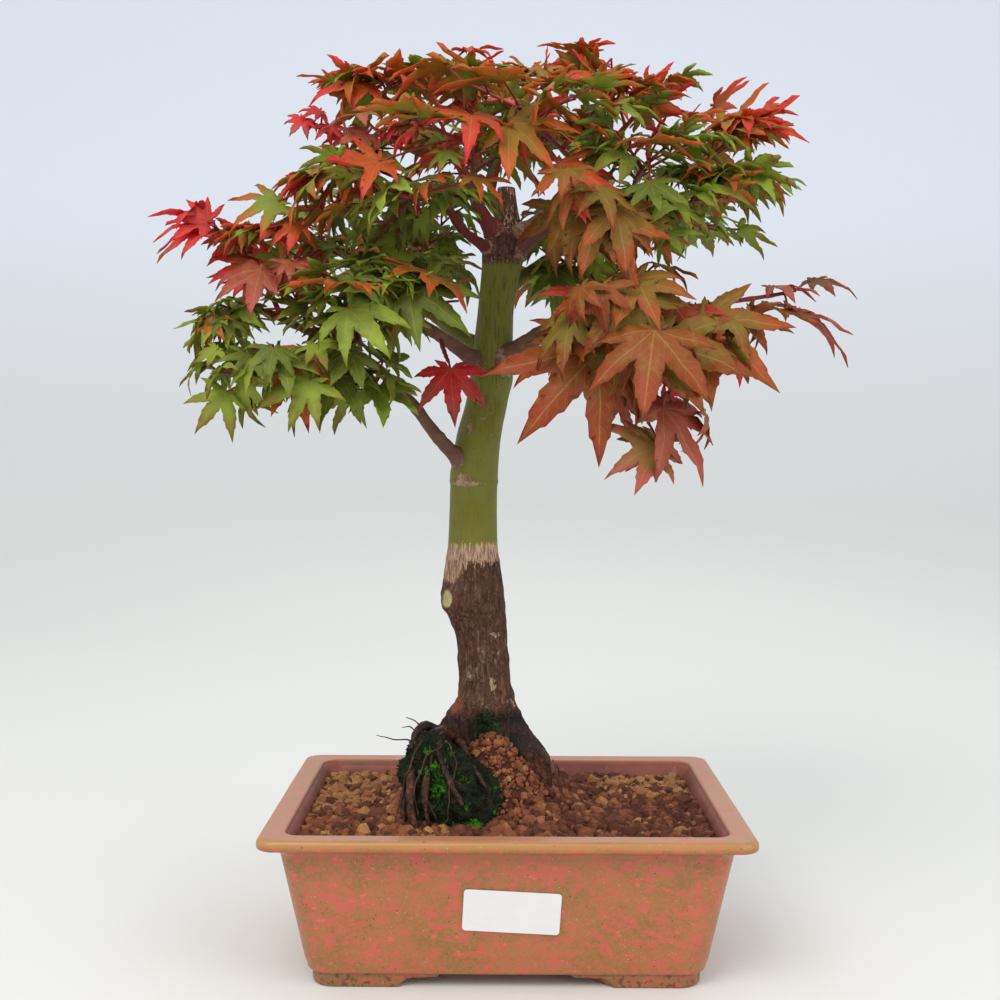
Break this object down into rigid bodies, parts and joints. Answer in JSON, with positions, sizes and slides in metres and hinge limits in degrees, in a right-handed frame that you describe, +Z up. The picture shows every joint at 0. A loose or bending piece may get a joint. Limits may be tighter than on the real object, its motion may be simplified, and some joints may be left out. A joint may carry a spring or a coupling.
{
  "type": "potted bonsai tree",
  "caption": "Small maple bonsai with a straight trunk and autumn leaf sprays, in a glazed oblong pot of clay granules on four low feet.",
  "frame": {"origin": "on the ground, under the middle of the whole tree and pot", "axes": "+Z up along the trunk, +X to the right along the pot's long side, -Y towards the tree's front"},
  "size_m": [0.3207, 0.2242, 0.4292],
  "materials": {
    "glaze": "satin",
    "screen_mesh": "matte",
    "screen_wire": "satin",
    "akadama": "matte",
    "moss": "matte",
    "bark": "satin",
    "branch_bark": "satin",
    "label_film": "satin",
    "leaf_green": "satin",
    "leaf_orange": "satin",
    "leaf_copper": "satin",
    "leaf_red": "satin",
    "leaf_pink": "satin"
  },
  "bodies": {
    "root": {"pot": "glaze", "drain_screen_left": "screen_mesh", "drain_screen_right": "screen_mesh", "screen_wire_left": "screen_wire", "screen_wire_right": "screen_wire", "soil_bed": "akadama", "moss_mound": "moss", "trunk": "bark", "blank_label": "label_film", "branch_low_left": "branch_bark", "branch_mid_left": "branch_bark", "branch_back_left": "branch_bark", "branch_right": "branch_bark", "branch_back_right": "branch_bark", "branch_top_left": "branch_bark", "branch_side_left": "branch_bark", "branch_top_right": "branch_bark", "branch_side_right": "branch_bark", "branch_top_back": "branch_bark", "spray_low_left_end": "leaf_green", "spray_low_left_front": "leaf_green", "spray_low_left_under": "leaf_green", "spray_low_left_mottled": "leaf_green", "spray_far_left": "leaf_red", "spray_by_trunk": "leaf_red", "spray_mid_left_end": "leaf_orange", "spray_mid_left_low": "leaf_pink", "spray_mid_left_front": "leaf_green", "spray_mid_left_inner": "leaf_green", "spray_back_left_end": "leaf_green", "spray_back_left_mid": "leaf_green", "spray_top_left_end": "leaf_orange", "spray_top_left_small": "leaf_red", "spray_top_left_pink": "leaf_pink", "spray_top_left_crown": "leaf_orange", "spray_top_left_front": "leaf_orange", "spray_side_left_end": "leaf_orange", "spray_side_left_front": "leaf_green", "spray_top_back_end": "leaf_orange", "spray_top_back_left": "leaf_green", "spray_top_middle": "leaf_orange", "spray_top_back_right": "leaf_green", "spray_crown": "leaf_orange", "spray_top_right_end": "leaf_orange", "spray_top_right_front": "leaf_orange", "spray_top_right_red": "leaf_red", "spray_side_right_end": "leaf_orange", "spray_side_right_low": "leaf_green", "spray_side_right_front": "leaf_green", "spray_side_right_dark": "leaf_green", "spray_side_right_brown": "leaf_copper", "spray_right_end": "leaf_pink", "spray_right_copper": "leaf_copper", "spray_right_inner": "leaf_copper", "spray_right_top": "leaf_copper", "spray_right_outer": "leaf_copper", "spray_right_hanging": "leaf_pink", "spray_back_right_end": "leaf_green", "spray_back_right_mid": "leaf_green", "spray_back_right_low": "leaf_green"}
  },
  "joints": []
}
